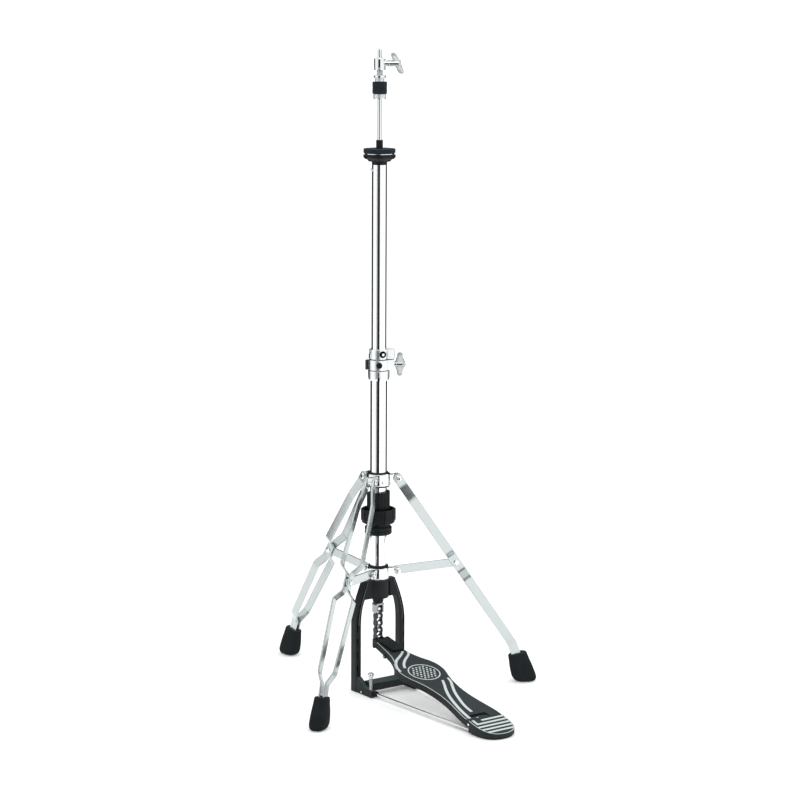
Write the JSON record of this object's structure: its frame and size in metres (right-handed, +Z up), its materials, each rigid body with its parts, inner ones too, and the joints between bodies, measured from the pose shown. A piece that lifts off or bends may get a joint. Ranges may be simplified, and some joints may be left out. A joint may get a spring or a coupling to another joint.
{
  "type": "hi-hat stand",
  "caption": "Hi-hat stand with a foot pedal, roller chain, pull rod and clutch, an adjustable chrome tube and a swivelling folding tripod with rubber feet",
  "frame": {"origin": "centre of the footprint, on the floor", "axes": "+Z up along the tubes, drummer and heel plate toward -Y, +X to the drummer's right"},
  "size_m": [0.4894, 0.6388, 1.097],
  "materials": {
    "chrome_tube": "polished chrome plate",
    "chrome_parts": "polished chrome plate on cast and turned parts",
    "leg_steel": "chrome plate on pressed strip",
    "chain_steel": "nickel-plated steel",
    "cast_black": "satin black powder coat with fine grain",
    "plastic_black": "moulded black nylon",
    "rubber": "matte black rubber",
    "felt": "pressed wool felt"
  },
  "bodies": {
    "base": {"frame_casting": "cast_black", "lower_tube": "chrome_tube", "spring_seat": "chain_steel", "return_spring": "chain_steel", "tension_barrel": "plastic_black", "tension_flange": "plastic_black", "tube_clamp": "chrome_parts", "clamp_bolt": "chrome_parts", "heel_plate": "cast_black", "heel_pad": "rubber", "hinge_pin": "chrome_parts", "radius_rod_left": "chrome_parts", "radius_rod_right": "chrome_parts"},
    "spur_left": {"spur_screw_left": "chrome_parts"},
    "spur_right": {"spur_screw_right": "chrome_parts"},
    "tension_adjuster": {"tension_knob": "plastic_black"},
    "clamp_nut": {"clamp_wing_nut": "chrome_parts"},
    "pedal": {"footboard": "cast_black", "chain_anchor": "cast_black"},
    "rod": {"pull_rod": "chrome_tube", "chain_clevis": "chain_steel"},
    "chain": {"chain_link_1": "chain_steel", "chain_link_2": "chain_steel", "chain_link_3": "chain_steel", "chain_link_4": "chain_steel", "chain_link_5": "chain_steel"},
    "clutch": {"clutch_body": "chrome_parts", "clutch_tube": "chrome_tube", "clutch_lock_nut": "chrome_parts", "clutch_felt_upper": "felt", "clutch_felt_lower": "felt", "clutch_bottom_nut": "chrome_parts"},
    "clutch_screw": {"clutch_wing_screw": "chrome_parts"},
    "upper_section": {"upper_tube": "chrome_tube", "seat_cup": "plastic_black", "seat_washer": "chrome_parts", "seat_felt": "felt"},
    "memory_band": {"memory_lock": "chrome_parts"},
    "tripod": {"lower_collar": "chrome_parts", "lower_collar_bush": "plastic_black", "brace_bolt_rear": "chrome_parts", "brace_bolt_left": "chrome_parts", "brace_bolt_right": "chrome_parts"},
    "leg_collar": {"upper_collar": "chrome_parts", "upper_collar_bush": "plastic_black", "leg_bolt_rear": "chrome_parts", "leg_bolt_left": "chrome_parts", "leg_bolt_right": "chrome_parts"},
    "leg_rear": {"leg_strip_rear_a": "leg_steel", "leg_strip_rear_b": "leg_steel", "boot_rear": "rubber"},
    "brace_rear": {"brace_rear": "leg_steel"},
    "leg_left": {"leg_strip_left_a": "leg_steel", "leg_strip_left_b": "leg_steel", "boot_left": "rubber"},
    "brace_left": {"brace_left": "leg_steel"},
    "leg_right": {"leg_strip_right_a": "leg_steel", "leg_strip_right_b": "leg_steel", "boot_right": "rubber"},
    "brace_right": {"brace_right": "leg_steel"}
  },
  "joints": [
    {"name": "pedal_press", "type": "hinge", "parent": "base", "child": "pedal", "pos_m": [-0.00638, -0.26481, 0.016], "axis": [-1, 0, 0], "range_deg": [0, 7]},
    {"name": "rod_pull", "type": "slide", "parent": "base", "child": "rod", "axis": [0, 0, -1], "range_m": [0, 0.03768], "stiffness_N_per_m": 1200, "springref_m": -0.02, "deforming": ["return_spring"]},
    {"name": "chain_swing", "type": "hinge", "parent": "rod", "child": "chain", "pos_m": [-0.00638, 0.03819, 0.1395], "axis": [1, 0, 0], "range_deg": [0, 4.61]},
    {"name": "clutch_slide", "type": "slide", "parent": "rod", "child": "clutch", "axis": [0, 0, 1], "range_m": [-0.01, 0.014]},
    {"name": "clutch_screw_turn", "type": "hinge", "parent": "clutch", "child": "clutch_screw", "pos_m": [-0.00638, 0.03819, 1.0725], "axis": [0.8191, -0.5736, 0], "continuous": true},
    {"name": "height_slide", "type": "slide", "parent": "base", "child": "upper_section", "axis": [0, 0, 1], "range_m": [-0.14, 0.018]},
    {"name": "memory_slide", "type": "slide", "parent": "upper_section", "child": "memory_band", "axis": [0, 0, 1], "range_m": [-0.018, 0.14]},
    {"name": "clamp_nut_turn", "type": "hinge", "parent": "base", "child": "clamp_nut", "pos_m": [-0.00638, 0.03819, 0.567], "axis": [0.8191, -0.5736, 0], "continuous": true},
    {"name": "tension_turn", "type": "hinge", "parent": "base", "child": "tension_adjuster", "pos_m": [-0.00638, 0.03819, 0.3045], "axis": [0, 0, 1], "continuous": true},
    {"name": "spur_turn_left", "type": "hinge", "parent": "base", "child": "spur_left", "pos_m": [-0.05208, -0.00581, 0.02], "axis": [0, 0, 1], "continuous": true},
    {"name": "spur_turn_right", "type": "hinge", "parent": "base", "child": "spur_right", "pos_m": [0.03932, -0.00581, 0.02], "axis": [0, 0, 1], "continuous": true},
    {"name": "tripod_swivel", "type": "hinge", "parent": "base", "child": "tripod", "pos_m": [-0.00638, 0.03819, 0.204], "axis": [0, 0, 1], "range_deg": [-35, 35]},
    {"name": "leg_fold", "type": "slide", "parent": "tripod", "child": "leg_collar", "axis": [0, 0, 1], "range_m": [0, 0.11764]},
    {"name": "leg_rear_hinge", "type": "hinge", "parent": "leg_collar", "child": "leg_rear", "pos_m": [-0.00806, 0.07135, 0.369], "axis": [-0.9987, -0.0506, 0], "range_deg": [0, 24.15]},
    {"name": "brace_rear_hinge", "type": "hinge", "parent": "tripod", "child": "brace_rear", "pos_m": [-0.008, 0.07015, 0.2075], "axis": [0.9987, 0.0506, 0], "range_deg": [0, 66.13]},
    {"name": "leg_left_hinge", "type": "hinge", "parent": "leg_collar", "child": "leg_left", "pos_m": [-0.03426, 0.02016, 0.369], "axis": [0.5432, -0.8396, 0], "range_deg": [0, 24.15]},
    {"name": "brace_left_hinge", "type": "hinge", "parent": "tripod", "child": "brace_left", "pos_m": [-0.03325, 0.02081, 0.2075], "axis": [-0.5432, 0.8396, 0], "range_deg": [0, 66.13]},
    {"name": "leg_right_hinge", "type": "hinge", "parent": "leg_collar", "child": "leg_right", "pos_m": [0.02318, 0.02307, 0.369], "axis": [0.4555, 0.8902, 0], "range_deg": [0, 24.15]},
    {"name": "brace_right_hinge", "type": "hinge", "parent": "tripod", "child": "brace_right", "pos_m": [0.02211, 0.02361, 0.2075], "axis": [-0.4555, -0.8902, 0], "range_deg": [0, 66.13]}
  ],
  "couplings": [
    {"joint": "rod_pull", "follows": "pedal_press", "m_per_rad": 0.3076},
    {"joint": "chain_swing", "follows": "pedal_press", "ratio": 0.6521},
    {"joint": "memory_slide", "follows": "height_slide", "ratio": -1},
    {"joint": "leg_rear_hinge", "follows": "leg_fold", "rad_per_m": 3.5755},
    {"joint": "brace_rear_hinge", "follows": "leg_fold", "rad_per_m": 9.8037},
    {"joint": "leg_left_hinge", "follows": "leg_fold", "rad_per_m": 3.5755},
    {"joint": "brace_left_hinge", "follows": "leg_fold", "rad_per_m": 9.8037},
    {"joint": "leg_right_hinge", "follows": "leg_fold", "rad_per_m": 3.5755},
    {"joint": "brace_right_hinge", "follows": "leg_fold", "rad_per_m": 9.8037}
  ]
}
